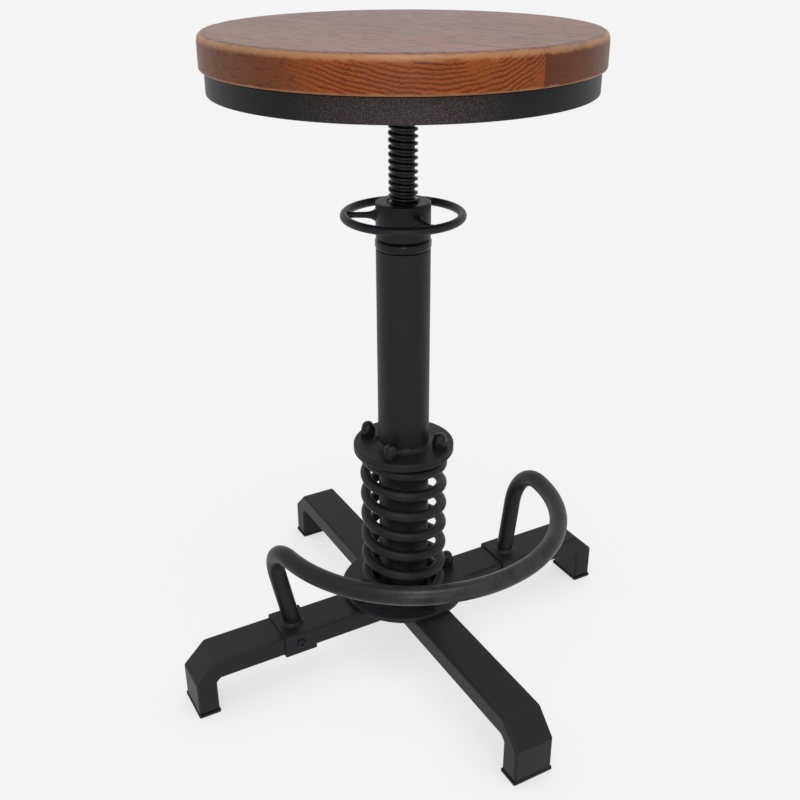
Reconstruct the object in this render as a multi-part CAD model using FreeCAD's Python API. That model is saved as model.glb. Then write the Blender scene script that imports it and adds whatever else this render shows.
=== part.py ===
import FreeCAD, Part
import math
import os
from FreeCAD import Vector

os.makedirs("parts", exist_ok=True)

# Machinist stool, millimetres, +Z up, origin on the floor under the column.
# +X points along the right leg, -Y along the front leg that the footrest passes.

# Seat
seat_radius = 165.0
seat_thickness = 28.0
seat_top = 609.0
seat_edge_round = 6.0
seat_under_round = 2.0
grain_direction = -71.3
board_seam_left = -32.0
board_seam_right = 101.0
band_inset = 4.2
band_thickness = 3.0
band_height = 18.8
band_gap = 0.6
arm_width = 32.0
arm_thickness = 5.0
arm_centre_radius = 45.0
hub_radius = 20.0
hub_length = 26.0
hub_pin_radius = 3.0
wood_screw_radius = 2.0
wood_screw_bite = 18.0
wood_screw_head_radius = 4.5
wood_screw_head_height = 2.4
wood_screw_inner_place = 60.0
wood_screw_edge = 35.0

# Lifting screw: a single left-handed thread
thread_pitch = 6.0
thread_radius = 12.85
thread_depth = 2.7
thread_crest = 1.7
thread_root = 3.9
thread_clearance = 0.3
thread_sink = 0.3
thread_run_turns = 6
thread_engaged_turns = 2
thread_relief = 0.6
thread_end_margin = 0.3
screw_spigot_radius = 10.0
screw_journal_radius = 8.0
guide_length = 14.4
guide_play = 0.3
guide_running = 0.05
screw_washer_radius = 12.0
screw_washer_thickness = 2.0
screw_bolt_length = 22.0
turns_up = 12
stop_margin = 2.3

# Lock collar with its hand ring
collar_radius = 24.4
collar_height = 32.2
collar_edge_round = 1.5
hand_ring_radius = 51.7
hand_ring_wire = 7.6
hand_ring_drop = 12.3
spoke_wire = 5.2
spoke_count = 3
spoke_direction = 30.7
spoke_weld = 2.2
lock_ring_radius = 25.3
lock_ring_height = 9.7
lock_ring_round = 2.5
lock_spigot_radius = 17.0
lock_lip = 1.0
lock_lip_height = 1.4
lock_running = 0.08
lock_lip_clearance = 0.3

# Column
column_radius = 24.5
column_wall = 3.0
column_top = 425.0
nut_length = 30.0
flange_radius = 48.6
flange_thickness = 4.0
flange_round = 1.5
flange_underside = 222.0
flange_weld = 4.5
flange_bolt_circle = 37.0
flange_bolt_direction = 41.0
flange_bolt_radius = 4.0
flange_nut_flats = 13.0
flange_nut_height = 15.0
flange_drive_flats = 5.0
countersink_radius = 7.4
countersink_depth = 3.4
sleeve_wall = 3.0
sleeve_running = 0.08
sleeve_length = 126.0
suspension_travel = 20.0
suspension_gap = 1.0
stop_pin_radius = 4.0
stop_pin_height = 56.0
stop_pin_clearance = 0.15

# Spring: left-handed, two closed half turns
spring_mean_radius = 37.6
spring_wire = 10.4
spring_active_turns = 6.36
spring_closed_turns = 0.5
spring_seat_gap = 0.3
spring_start = 10.0

# Base
tube_width = 40.0
tube_height = 20.0
tube_wall = 2.0
leg_top = 59.0
leg_reach = 234.0
foot_bevel = 21.5
foot_inner_bevel = 4.2
glide_thickness = 3.0
glide_overhang = 0.8
glide_plug = 12.0
glide_plug_play = 0.1
base_plate_radius = 64.0
base_plate_thickness = 5.0
base_plate_round = 1.0
base_plate_hole = 12.0
base_bolt_circle = 52.0
base_bolt_radius = 4.0
base_nut_flats = 13.0
base_nut_height = 17.5
base_head_height = 5.3
base_washer_radius = 8.0
base_washer_thickness = 1.4

# Footrest
bar_diameter = 17.0
bar_half_width = 141.0
bar_reach = 145.8
bar_side_radius = 151.5
bar_height = 160.5
bar_centre = -17.2
bar_tilt = 2.33
bar_side_start = 7.2
bar_bend_reach = 43.1
post_foot = 126.8
clamp_wall = 2.0
clamp_play = 0.15
clamp_start = 110.7
clamp_length = 33.0
clamp_weld = 3.5
clamp_screw_radius = 2.5
clamp_screw_head = 4.4
clamp_screw_head_height = 2.2
clamp_screw_length = 7.0

# Heights that follow from the sizes above
seat_bottom = seat_top - seat_thickness
band_radius = seat_radius - band_inset
wood_screw_outer_place = seat_radius - wood_screw_edge
arm_bottom = seat_bottom - arm_thickness
hub_bottom = arm_bottom - hub_length
band_top = seat_bottom - band_gap
band_bottom = band_top - band_height
nut_bottom = column_top - nut_length
lock_ring_top = column_top + lock_ring_height
collar_top = lock_ring_top + collar_height
guide_top = nut_bottom - stop_margin - turns_up * thread_pitch
screw_end = guide_top - guide_length - guide_play
thread_end = guide_top + guide_play
flange_seam = flange_underside + flange_thickness
flange_top = flange_seam + flange_thickness
leg_bottom = leg_top - tube_height
base_plate_top = leg_top + base_plate_thickness
post_top = flange_underside - suspension_travel - suspension_gap
column_bore = column_radius - column_wall
sleeve_radius = column_bore - sleeve_running
sleeve_bore = sleeve_radius - sleeve_wall
thread_root_radius = thread_radius - thread_depth
thread_flank_slope = (thread_root - thread_crest) / 2 / thread_depth


def save(name, shape):
    shape.exportStep("parts/" + name + ".step")


def cylinder(radius, low, high, x=0.0, y=0.0):
    return Part.makeCylinder(radius, high - low, Vector(x, y, low))


def tube(outer, inner, low, high):
    return cylinder(outer, low, high).cut(cylinder(inner, low, high))


def box(low, high):
    size = high - low
    return Part.makeBox(size.x, size.y, size.z, low)


def around(radius, degrees, z=0.0):
    angle = math.radians(degrees)
    return Vector(radius * math.cos(angle), radius * math.sin(angle), z)


def turned(shape, degrees, centre=Vector(0, 0, 0)):
    copy = shape.copy()
    copy.rotate(centre, Vector(0, 0, 1), degrees)
    return copy


def circle_edges(shape, radius, z):
    found = []
    for edge in shape.Edges:
        flat = abs(edge.BoundBox.ZMax - z) < 0.01 and edge.BoundBox.ZLength < 0.01
        if flat and isinstance(edge.Curve, Part.Circle) and abs(edge.Curve.Radius - radius) < 0.01:
            found.append(edge)
    return found


def rounded(shape, size, radius, z):
    return shape.makeFillet(size, circle_edges(shape, radius, z))


def hexagon(flats, low, high, centre):
    corner = flats / math.sqrt(3)
    points = [centre + around(corner, 60 * k, low) for k in range(7)]
    face = Part.Face(Part.makePolygon(points))
    return face.extrude(Vector(0, 0, high - low))


def compound(solids):
    return Part.makeCompound(solids)


# Threads

def thread_half_root(growth):
    return thread_root / 2 + thread_flank_slope * thread_sink + growth


def thread_ridges(low, high, growth):
    """A left-handed ridge in short runs. Its phase depends only on height, so screw and nuts mesh."""
    root = thread_root_radius - thread_sink
    half_root = thread_half_root(growth)
    crest = thread_radius + growth
    half_crest = thread_crest / 2 + growth * (1 - thread_flank_slope)
    points = [Vector(root, 0, -half_root), Vector(crest, 0, -half_crest),
              Vector(crest, 0, half_crest), Vector(root, 0, half_root),
              Vector(root, 0, -half_root)]
    count = math.ceil((high - low) / thread_pitch / thread_run_turns)
    run = (high - low) / count
    ridges = []
    for k in range(count):
        start = low + k * run
        path = Part.makeHelix(thread_pitch, run, thread_radius, 0, True)
        ridge = Part.Wire(path).makePipeShell([Part.makePolygon(points)], True, True)
        ridge.rotate(Vector(0, 0, 0), Vector(0, 0, 1), -360 * start / thread_pitch)
        ridge.translate(Vector(0, 0, start))
        ridges.append(ridge)
    return ridges


def threaded_rod(low, high, growth=0.0):
    """A rod whose ridge ends square, just inside both ends."""
    margin = thread_half_root(growth) + thread_end_margin
    core = cylinder(thread_root_radius + growth, low, high)
    return core.fuse(thread_ridges(low + margin, high - margin, growth))


def threaded_through(body, low, high):
    """The body with a hole that is threaded over its top turns and relieved below them."""
    threaded_low = high - thread_engaged_turns * thread_pitch
    relief = cylinder(thread_radius + thread_relief, low - thread_pitch, threaded_low)
    tap = threaded_rod(threaded_low - thread_pitch, high + thread_pitch, thread_clearance)
    return body.cut(relief).cut(tap)


# Fasteners

def cap_nut(flats, height, bolt_radius, base, centre):
    hex_height = 0.5 * height
    dome_radius = 0.475 * flats
    hex_part = hexagon(flats, base, base + hex_height, centre)
    crown = cylinder(flats / math.sqrt(3), base, base + hex_height, centre.x, centre.y)
    rims = [e for e in crown.Edges if isinstance(e.Curve, Part.Circle)]
    crown = crown.makeChamfer(0.07 * flats, rims)
    hex_part = hex_part.common(crown)
    neck_top = base + height - dome_radius
    neck = cylinder(dome_radius, base, neck_top, centre.x, centre.y)
    dome = Part.makeSphere(dome_radius, Vector(centre.x, centre.y, neck_top))
    hole = cylinder(bolt_radius, base, base + 0.72 * height, centre.x, centre.y)
    dome = dome.common(cylinder(dome_radius, base, base + height, centre.x, centre.y))
    nut = hex_part.fuse(neck).fuse(dome)
    return nut.removeSplitter().cut(hole)


def hex_bolt(flats, head_height, radius, head_bottom, shank_top, centre):
    head_top = head_bottom + head_height
    head = hexagon(flats, head_bottom, head_top, centre)
    return head.fuse(cylinder(radius, head_top, shank_top, centre.x, centre.y))


# Seat

def seat_boards(screws):
    disc = cylinder(seat_radius, seat_bottom, seat_top)
    disc = rounded(disc, seat_edge_round, seat_radius, seat_top)
    disc = rounded(disc, seat_under_round, seat_radius, seat_bottom)
    limits = [-seat_radius - 5, board_seam_left, board_seam_right, seat_radius + 5]
    names = ["seat_board_left", "seat_board_middle", "seat_board_right"]
    boards = {}
    for name, low, high in zip(names, limits, limits[1:]):
        slab = box(Vector(low, -seat_radius - 5, seat_bottom - 5),
                   Vector(high, seat_radius + 5, seat_top + 5))
        slab = turned(slab, grain_direction + 90)
        boards[name] = disc.common(slab).cut(screws)
    return boards


def seat_band():
    ring = tube(band_radius, band_radius - band_thickness, band_bottom, band_top)
    return rounded(ring, 1.0, band_radius, band_bottom)


def arm_places():
    for quarter in range(4):
        for place in (wood_screw_inner_place, wood_screw_outer_place):
            yield around(place, 90 * quarter)


def wood_screws():
    screws = []
    for place in arm_places():
        head_low = arm_bottom - wood_screw_head_height
        head = cylinder(wood_screw_head_radius, head_low, arm_bottom, place.x, place.y)
        head = head.makeFillet(1.2, circle_edges(head, wood_screw_head_radius, head_low))
        slot_low = Vector(place.x - 0.5, place.y - 3.2, head_low)
        slot = box(slot_low, slot_low + Vector(1.0, 6.4, 1.0))
        tip = seat_bottom + wood_screw_bite
        shank = cylinder(wood_screw_radius, arm_bottom, tip - 3, place.x, place.y)
        point = Part.makeCone(wood_screw_radius, 0.3, 3, Vector(place.x, place.y, tip - 3))
        screws.append(head.cut(slot).fuse(shank).fuse(point))
    return screws


def seat_spider(screws):
    reach = band_radius - band_thickness
    half = arm_width / 2
    bar = box(Vector(-reach - 5, -half, arm_bottom), Vector(reach + 5, half, seat_bottom))
    cross = bar.fuse(turned(bar, 90)).fuse(cylinder(arm_centre_radius, arm_bottom, seat_bottom))
    cross = cross.common(cylinder(reach, arm_bottom, seat_bottom)).removeSplitter()
    cross = cross.cut(cylinder(screw_spigot_radius, arm_bottom, seat_bottom))
    return cross.cut(compound(screws))


def hub_pin():
    length = 2 * hub_radius
    middle = (hub_bottom + arm_bottom) / 2
    return Part.makeCylinder(hub_pin_radius, length, Vector(-hub_radius, 0, middle), Vector(1, 0, 0))


def seat_hub():
    hub = cylinder(hub_radius, hub_bottom, arm_bottom)
    hub = rounded(hub, 1.5, hub_radius, hub_bottom)
    return hub.cut(cylinder(screw_spigot_radius, hub_bottom, arm_bottom)).cut(hub_pin())


# Lifting screw

def screw_bolt_top():
    return screw_end + screw_bolt_length


def lead_screw():
    rod = threaded_rod(thread_end, hub_bottom)
    rod = rod.fuse(cylinder(screw_spigot_radius, hub_bottom, seat_bottom))
    rod = rod.fuse(cylinder(screw_journal_radius, screw_end, thread_end))
    rod = rod.cut(hub_pin())
    return rod.cut(cylinder(base_bolt_radius, screw_end, screw_bolt_top()))


def guide_bush():
    low = screw_end + guide_play
    bush = tube(column_bore - guide_running, screw_journal_radius + guide_running, low, guide_top)
    bush = rounded(bush, 1.0, column_bore - guide_running, guide_top)
    return rounded(bush, 1.0, column_bore - guide_running, low)


def screw_washer():
    return tube(screw_washer_radius, base_bolt_radius, screw_end - screw_washer_thickness, screw_end)


def screw_bolt():
    head_top = screw_end - screw_washer_thickness
    centre = Vector(0, 0, 0)
    return hex_bolt(base_nut_flats, base_head_height, base_bolt_radius, head_top - base_head_height,
                    screw_bolt_top(), centre)


# Lock collar

def lock_ring():
    ring = cylinder(lock_ring_radius, column_top, lock_ring_top)
    ring = rounded(ring, lock_ring_round, lock_ring_radius, lock_ring_top)
    ring = rounded(ring, lock_ring_round, lock_ring_radius, column_top)
    lip_room = lock_spigot_radius + lock_lip + lock_lip_clearance
    lip_top = column_top + lock_lip_height + 2 * lock_lip_clearance
    ring = ring.cut(cylinder(lock_spigot_radius + lock_running, column_top, lock_ring_top))
    return ring.cut(cylinder(lip_room, column_top, lip_top))


def lock_collar():
    body = cylinder(collar_radius, lock_ring_top, collar_top)
    body = rounded(body, collar_edge_round, collar_radius, collar_top)
    body = rounded(body, collar_edge_round, collar_radius, lock_ring_top)
    lip_low = column_top + lock_lip_clearance
    spigot = cylinder(lock_spigot_radius, lip_low, lock_ring_top)
    lip = cylinder(lock_spigot_radius + lock_lip, lip_low, lip_low + lock_lip_height)
    body = body.fuse(spigot).fuse(lip).removeSplitter()
    mouth = Part.makeCone(thread_radius, thread_radius + 2.5, 2.5, Vector(0, 0, collar_top - 2.5))
    return threaded_through(body, lip_low, collar_top).cut(mouth)


def hand_ring_height():
    return collar_top - hand_ring_drop


def hand_ring():
    return Part.makeTorus(hand_ring_radius, hand_ring_wire / 2, Vector(0, 0, hand_ring_height()))


def hand_spokes():
    spokes = []
    inside = collar_radius - 1.0
    for k in range(spoke_count):
        direction = spoke_direction + 360.0 / spoke_count * k
        start = around(inside, direction, hand_ring_height())
        rod = Part.makeCylinder(spoke_wire / 2, hand_ring_radius - inside, start, around(1, direction))
        weld = Part.makeCone(spoke_wire / 2 + spoke_weld, spoke_wire / 2, 1.0 + 2 * spoke_weld, start,
                             around(1, direction))
        spoke = rod.fuse(weld).cut(cylinder(collar_radius, lock_ring_top, collar_top)).cut(hand_ring())
        spokes.append(spoke)
    return compound(spokes)


# Column

def column_nut():
    body = cylinder(column_bore, nut_bottom, column_top)
    return threaded_through(body, nut_bottom, column_top)


def flange_places():
    return [around(flange_bolt_circle, flange_bolt_direction + 90 * k) for k in range(4)]


def flange_screw_blanks():
    """The flange screws before their sockets are cut, which also drill the two flanges."""
    screws = []
    for place in flange_places():
        top = flange_top + 0.7 * flange_nut_height
        shank = cylinder(flange_bolt_radius, flange_underside, top, place.x, place.y)
        head = Part.makeCone(countersink_radius, flange_bolt_radius, countersink_depth,
                             Vector(place.x, place.y, flange_underside))
        screws.append(shank.fuse(head))
    return compound(screws)


def flange_screws():
    drives = [hexagon(flange_drive_flats, flange_underside, flange_underside + 2.0, place)
              for place in flange_places()]
    return flange_screw_blanks().cut(compound(drives))


def column_flange():
    plate = cylinder(flange_radius, flange_seam, flange_top)
    plate = rounded(plate, flange_round, flange_radius, flange_top)
    weld = Part.makeCone(column_radius + flange_weld, column_radius, flange_weld,
                         Vector(0, 0, flange_top))
    plate = plate.fuse(weld)
    plate = plate.cut(cylinder(column_radius, flange_seam, flange_top + flange_weld))
    return plate.cut(flange_screw_blanks())


def sleeve_flange():
    plate = tube(flange_radius, sleeve_radius, flange_underside, flange_seam)
    plate = rounded(plate, flange_round, flange_radius, flange_underside)
    return plate.cut(flange_screw_blanks())


def flange_nuts():
    nuts = []
    for place in flange_places():
        nuts.append(cap_nut(flange_nut_flats, flange_nut_height, flange_bolt_radius, flange_top, place))
    return compound(nuts)


def stop_pin_level():
    return base_plate_top + stop_pin_height


def stop_pin():
    start = Vector(-column_radius, 0, stop_pin_level())
    return Part.makeCylinder(stop_pin_radius, 2 * column_radius, start, Vector(1, 0, 0))


def inner_sleeve():
    sleeve = tube(sleeve_radius, sleeve_bore, flange_seam - sleeve_length, flange_seam)
    half = stop_pin_radius + stop_pin_clearance
    low = stop_pin_level()
    high = low + suspension_travel
    ends = [Part.makeCylinder(half, 2 * column_radius, Vector(-column_radius, 0, z), Vector(1, 0, 0))
            for z in (low, high)]
    middle = box(Vector(-column_radius, -half, low), Vector(column_radius, half, high))
    return sleeve.cut(ends[0].fuse(ends[1]).fuse(middle))


def base_post():
    return tube(column_radius, column_bore, base_plate_top, post_top).cut(stop_pin())


# Spring

def spring_nodes():
    """Points and directions a quarter turn apart down the wire's centre line."""
    top = flange_underside - spring_seat_gap - spring_wire / 2
    bottom = base_plate_top + spring_seat_gap + spring_wire / 2
    pitch = (top - bottom) / spring_active_turns
    total = spring_active_turns + 2 * spring_closed_turns
    count = round(4 * total)
    nodes = []
    for k in range(count + 1):
        turn = total * k / count
        active = turn - spring_closed_turns
        climbing = 0.01 < active < spring_active_turns - 0.01
        active = min(max(active, 0.0), spring_active_turns)
        angle = math.radians(spring_start) + 2 * math.pi * turn
        point = Vector(spring_mean_radius * math.cos(angle), spring_mean_radius * math.sin(angle),
                       top - pitch * active)
        rise = -pitch if climbing else 0.0
        run = 2 * math.pi * spring_mean_radius
        way = Vector(-run * math.sin(angle), run * math.cos(angle), rise)
        nodes.append((point, way.normalize()))
    return nodes


def biarc(start, start_way, end, end_way):
    """Two arcs that leave start and reach end in the given directions."""
    chord = end - start
    ways = start_way + end_way
    spread = 2 * (1 - start_way.dot(end_way))
    along = chord.dot(ways)
    reach = (-along + math.sqrt(along * along + spread * chord.dot(chord))) / spread
    first_corner = start + start_way * reach
    second_corner = end - end_way * reach
    joint = (first_corner + second_corner) * 0.5
    arcs = []
    for a, corner, b in ((start, first_corner, joint), (joint, second_corner, end)):
        middle = (a + b) * 0.5
        half_chord = (b - a).Length / 2
        half_turn = math.acos(min(1.0, half_chord / (corner - a).Length))
        bulge = half_chord * math.tan(half_turn / 2)
        crown = middle + (corner - middle).normalize() * bulge
        arcs.append(Part.Arc(a, crown, b).toShape())
    return arcs


def spring():
    nodes = spring_nodes()
    edges = []
    for (start, start_way), (end, end_way) in zip(nodes, nodes[1:]):
        edges.extend(biarc(start, start_way, end, end_way))
    path = Part.Wire(edges)
    section = Part.Wire(Part.Circle(nodes[0][0], nodes[0][1], spring_wire / 2).toShape())
    return path.makePipeShell([section], True, False), edges


def least_self_gap(edges):
    """Least distance between the wire's surface and itself, over points half a turn or more apart."""
    points = []
    for edge in edges:
        for k in range(12):
            span = edge.LastParameter - edge.FirstParameter
            points.append(edge.valueAt(edge.FirstParameter + span * k / 12))
    half_turn = 12 * 2 * 2
    least = 1e9
    for i, a in enumerate(points):
        for b in points[i + half_turn:]:
            least = min(least, (a - b).Length)
    return least - spring_wire


# Base

def mitre_shift():
    return tube_height * math.tan(math.radians(22.5))


def beam_end():
    """Top and bottom corners of a beam's mitred end, as distances from the column's axis."""
    top = leg_reach - foot_bevel
    return top, top - mitre_shift() * 0.5


def through_beam_outline():
    top, low = beam_end()
    return [(-top, leg_top), (top, leg_top), (low, leg_bottom), (-low, leg_bottom)]


def stub_beam_outline():
    top, low = beam_end()
    start = tube_width / 2
    return [(start, leg_top), (top, leg_top), (low, leg_bottom), (start, leg_bottom)]


def side_prism(outline, half_width):
    points = [Vector(x, -half_width, z) for x, z in outline]
    face = Part.Face(Part.makePolygon(points + [points[0]]))
    return face.extrude(Vector(0, 2 * half_width, 0))


def leg_beam(outline):
    solid = side_prism(outline, tube_width / 2)
    along = Part.makeBox(4 * leg_reach, tube_width - 2 * tube_wall, tube_height - 2 * tube_wall,
                         Vector(-2 * leg_reach, -tube_width / 2 + tube_wall, leg_bottom + tube_wall))
    return solid.cut(along)


def leg_foot():
    wall = tube_wall
    top, low = beam_end()
    outer_drop = leg_top - foot_bevel
    inner = leg_reach - tube_height
    outline = [(top, leg_top), (leg_reach, outer_drop), (leg_reach, glide_thickness),
               (inner, glide_thickness), (inner, leg_bottom - foot_inner_bevel),
               (inner - foot_inner_bevel, leg_bottom), (low, leg_bottom)]
    cut = wall * math.tan(math.radians(22.5))
    slant = (top - low) / tube_height
    hollow = [(top - slant * wall - 1, leg_top - wall), (top - cut, leg_top - wall),
              (leg_reach - wall, outer_drop - cut), (leg_reach - wall, glide_thickness - 1),
              (inner + wall, glide_thickness - 1),
              (inner + wall, leg_bottom - foot_inner_bevel + cut),
              (inner - foot_inner_bevel + cut, leg_bottom + wall),
              (low + slant * wall - 1, leg_bottom + wall)]
    room = side_prism(hollow, tube_width / 2 - wall)
    return side_prism(outline, tube_width / 2).cut(room)


def glide():
    inner = leg_reach - tube_height
    half = tube_width / 2
    over = glide_overhang
    plate = box(Vector(inner - over, -half - over, 0),
                Vector(leg_reach + over, half + over, glide_thickness))
    outside = [e for e in plate.Edges if e.BoundBox.ZMax < 0.01 or e.BoundBox.ZLength > 1]
    plate = plate.makeFillet(0.7, outside)
    inset = tube_wall + glide_plug_play
    plug = box(Vector(inner + inset, -half + inset, glide_thickness),
               Vector(leg_reach - inset, half - inset, glide_thickness + glide_plug))
    hollow = box(Vector(inner + inset + 2, -half + inset + 2, glide_thickness),
                 Vector(leg_reach - inset - 2, half - inset - 2, glide_thickness + glide_plug))
    return plate.fuse(plug.cut(hollow))


def base_bolt_places():
    return [around(base_bolt_circle, 90 * k) for k in range(4)]


def base_plate(bolts):
    plate = tube(base_plate_radius, base_plate_hole, leg_top, base_plate_top)
    plate = rounded(plate, base_plate_round, base_plate_radius, base_plate_top)
    return plate.cut(compound(bolts))


def base_bolts():
    bolts = []
    for place in base_bolt_places():
        top = base_plate_top + base_washer_thickness + 0.7 * base_nut_height
        bolts.append(hex_bolt(base_nut_flats, base_head_height, base_bolt_radius,
                              leg_bottom - base_head_height, top, place))
    return bolts


def base_washers():
    washers = []
    for place in base_bolt_places():
        top = base_plate_top + base_washer_thickness
        washer = cylinder(base_washer_radius, base_plate_top, top, place.x, place.y)
        washers.append(washer.cut(cylinder(base_bolt_radius, base_plate_top, top, place.x, place.y)))
    return compound(washers)


def base_nuts():
    nuts = []
    for place in base_bolt_places():
        nuts.append(cap_nut(base_nut_flats, base_nut_height, base_bolt_radius,
                            base_plate_top + base_washer_thickness, place))
    return compound(nuts)


# Footrest

def bar_point(across, forward):
    """A point in the footrest's tilted plane."""
    tilt = math.radians(bar_tilt)
    return Vector(across, bar_centre - forward * math.cos(tilt), bar_height + forward * math.sin(tilt))


def bend(start, corner, end):
    """The arc between two runs of one length that meet at a corner."""
    back = start - corner
    on = end - corner
    half = back.getAngle(on) / 2
    radius = back.Length * math.tan(half)
    crown = corner + (back + on).normalize() * radius * (1 / math.sin(half) - 1)
    return Part.Arc(start, crown, end).toShape()


def clamp_top():
    return leg_top + clamp_play + clamp_wall


def bar_path():
    """The bar's centre line, its lowest left point and the way it sets off there."""
    side = bar_side_radius - bar_half_width
    front = bar_side_radius - bar_reach
    centre = (side * side - front * front) / (2 * front)
    front_radius = bar_reach - centre
    first = math.radians(bar_side_start)
    last = math.atan2(centre, side)
    runs = {}
    for hand in (-1, 1):
        side_arc = [bar_point(hand * (bar_side_radius * math.cos(angle) - side),
                              bar_side_radius * math.sin(angle))
                    for angle in (first, (first + last) / 2, last)]
        across = bar_side_radius * math.cos(first) - side + bar_bend_reach * math.sin(first)
        forward = bar_side_radius * math.sin(first) - bar_bend_reach * math.cos(first)
        corner = bar_point(hand * across, forward)
        foot = Vector(hand * post_foot, 0, clamp_top())
        start = corner + (foot - corner).normalize() * bar_bend_reach
        foot = foot + (foot - corner).normalize() * bar_diameter / 2
        run = [Part.LineSegment(foot, start).toShape(), bend(start, corner, side_arc[0])]
        run.append(Part.Arc(*side_arc).toShape())
        runs[hand] = (foot, start, side_arc[-1], run)
    foot, start, left_joint, left = runs[-1]
    right_joint, right = runs[1][2:]
    front_arc = Part.Arc(left_joint, bar_point(0, centre + front_radius), right_joint).toShape()
    path = Part.Wire(Part.__sortEdges__(left + [front_arc] + right))
    return path, foot, (start - foot).normalize()


def footrest_bar():
    path, foot, way = bar_path()
    section = Part.Wire(Part.Circle(foot, way, bar_diameter / 2).toShape())
    bar = path.makePipeShell([section], True, False)
    reach = 2 * bar_side_radius
    below = box(Vector(-reach, -reach, leg_bottom - bar_diameter), Vector(reach, reach, clamp_top()))
    return bar.cut(below)


def clamp_screw_places():
    middle = clamp_start + clamp_length / 2
    return [Vector(hand * middle, -(tube_width / 2 + clamp_play + clamp_wall), leg_top - tube_height / 2)
            for hand in (-1, 1)]


def clamp_screws():
    screws = []
    for place in clamp_screw_places():
        into = Vector(0, 1, 0)
        head_start = place - into * clamp_screw_head_height
        head = Part.makeCylinder(clamp_screw_head, clamp_screw_head_height, head_start, into)
        rim = [e for e in head.Edges if abs(e.BoundBox.YMax - head_start.y) < 0.01
               and isinstance(e.Curve, Part.Circle)]
        head = head.makeFillet(1.4, rim)
        drive = hexagon(3.0, 0, 1.6, Vector(0, 0, 0))
        drive.rotate(Vector(0, 0, 0), Vector(1, 0, 0), -90)
        drive.translate(head_start)
        shank = Part.makeCylinder(clamp_screw_radius, clamp_screw_length, place, into)
        screws.append(head.cut(drive).fuse(shank))
    return screws


def footrest_clamp(hand, bar, screws):
    outer_half = tube_width / 2 + clamp_play + clamp_wall
    inner_half = tube_width / 2 + clamp_play
    high = leg_top + clamp_play
    low = leg_bottom - clamp_play
    near, far = sorted((hand * clamp_start, hand * (clamp_start + clamp_length)))
    outer = box(Vector(near, -outer_half, low - clamp_wall),
                Vector(far, outer_half, high + clamp_wall))
    outer = outer.makeFillet(1.6, [e for e in outer.Edges if e.BoundBox.XLength > 5])
    inner = box(Vector(near - 1, -inner_half, low), Vector(far + 1, inner_half, high))
    weld = Part.makeCone(bar_diameter / 2 + clamp_weld, bar_diameter / 2, clamp_weld * 1.3,
                         Vector(hand * post_foot, 0, high + clamp_wall))
    return outer.cut(inner).fuse(weld).cut(bar).cut(compound(screws))


# Build

def build():
    parts = {}
    screws = wood_screws()
    parts.update(seat_boards(compound(screws)))
    parts["seat_screws"] = compound(screws)
    parts["seat_band"] = seat_band()
    parts["seat_spider"] = seat_spider(screws)
    parts["seat_hub"] = seat_hub()
    parts["hub_pin"] = hub_pin().common(cylinder(hub_radius, hub_bottom, arm_bottom))
    parts["lead_screw"] = lead_screw()
    parts["guide_bush"] = guide_bush()
    parts["screw_end_washer"] = screw_washer()
    parts["screw_end_bolt"] = screw_bolt()

    parts["lock_ring"] = lock_ring()
    parts["lock_collar"] = lock_collar()
    parts["hand_ring"] = hand_ring()
    parts["hand_ring_spokes"] = hand_spokes()

    parts["column_nut"] = column_nut()
    parts["column_tube"] = tube(column_radius, column_bore, flange_seam, column_top)
    parts["column_flange"] = column_flange()
    parts["sleeve_flange"] = sleeve_flange()
    parts["flange_screws"] = flange_screws()
    parts["flange_cap_nuts"] = flange_nuts()
    parts["inner_sleeve"] = inner_sleeve()

    parts["base_post"] = base_post()
    parts["stop_pin"] = stop_pin().common(cylinder(column_radius, base_plate_top, post_top))
    wound, turns = spring()
    parts["spring"] = wound
    print("spring least gap to itself", round(least_self_gap(turns), 2))

    feet_bolts = base_bolts()
    parts["base_plate"] = base_plate(feet_bolts)
    parts["base_bolts"] = compound(feet_bolts)
    parts["base_washers"] = base_washers()
    parts["base_cap_nuts"] = base_nuts()

    clamp_bolts = clamp_screws()
    drill = compound(feet_bolts + clamp_bolts)
    parts["leg_beam_sides"] = leg_beam(through_beam_outline()).cut(drill)
    stub = leg_beam(stub_beam_outline())
    parts["leg_beam_front"] = turned(stub, -90).cut(drill)
    parts["leg_beam_back"] = turned(stub, 90).cut(drill)
    for name, direction in (("right", 0), ("back", 90), ("left", 180), ("front", 270)):
        parts["leg_foot_" + name] = turned(leg_foot(), direction)
        parts["glide_" + name] = turned(glide(), direction)

    bar = footrest_bar()
    parts["footrest_bar"] = bar
    parts["footrest_clamp_left"] = footrest_clamp(-1, bar, clamp_bolts)
    parts["footrest_clamp_right"] = footrest_clamp(1, bar, clamp_bolts)
    parts["clamp_screws"] = compound(clamp_bolts)
    return parts


for node, solid in build().items():
    save(node, solid)
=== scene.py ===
import math

import bmesh
import bpy
from bpy.props import FloatProperty, FloatVectorProperty, PointerProperty
from mathutils import Matrix, Vector, noise


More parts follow.
